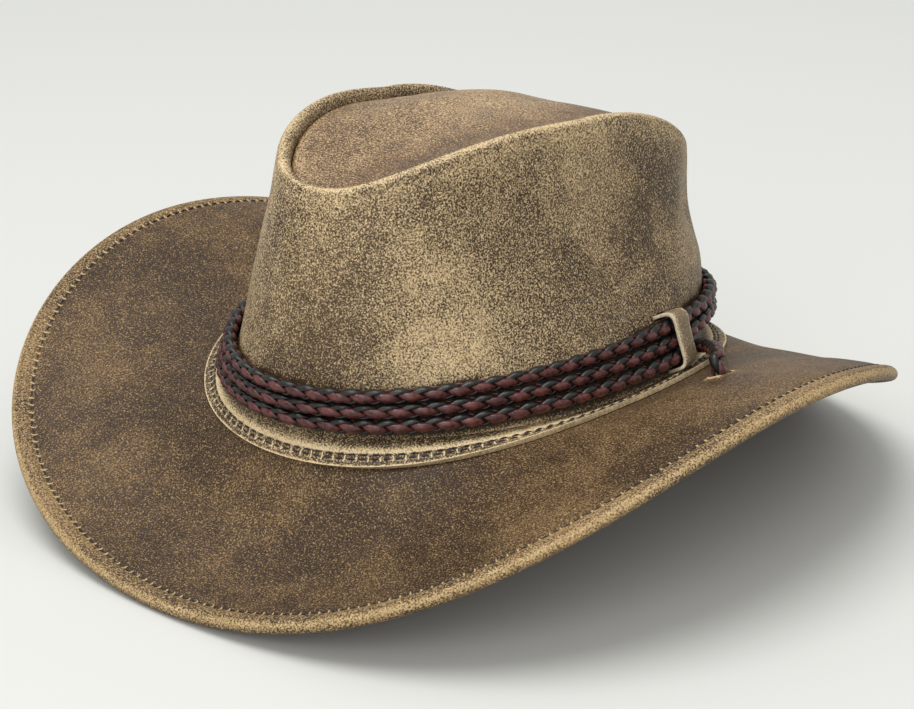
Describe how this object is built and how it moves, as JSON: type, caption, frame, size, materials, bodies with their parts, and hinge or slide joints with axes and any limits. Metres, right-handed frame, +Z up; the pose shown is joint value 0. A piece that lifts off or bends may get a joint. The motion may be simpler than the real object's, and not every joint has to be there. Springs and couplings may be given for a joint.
{
  "type": "outback hat",
  "caption": "Leather hat with a pinched crown and sunk top panel, a wired brim turned up at the sides, an inner sweatband and a wound braided cord band held by strap keepers.",
  "frame": {"origin": "middle of the head opening, at the level where the crown meets the brim", "axes": "front of the hat towards -Y, the wearer's left towards +X, the crown up along +Z"},
  "size_m": [0.338, 0.3199, 0.1529],
  "materials": {
    "brim_leather": "distressed, worn light along the turned edge",
    "crown_leather": "distressed, speckled, worn light at the ridge and base",
    "tip_leather": "distressed, slightly polished",
    "sweatband_leather": "smooth lining leather",
    "band_leather": "braided cord in burgundy and black",
    "keeper_leather": "distressed strap with raw light edges",
    "knot_leather": "braided cord in burgundy and black",
    "spring_steel": "bright drawn wire",
    "sleeve_brass": "plain tube"
  },
  "bodies": {
    "root": {"brim": "brim_leather", "brim_wire": "spring_steel", "wire_sleeve": "sleeve_brass", "crown_wall": "crown_leather", "crown_tip": "tip_leather", "sweatband": "sweatband_leather", "hat_band": "band_leather", "keeper_right": "keeper_leather", "keeper_left": "keeper_leather", "band_knot_right": "knot_leather", "band_knot_left": "knot_leather"}
  },
  "joints": []
}
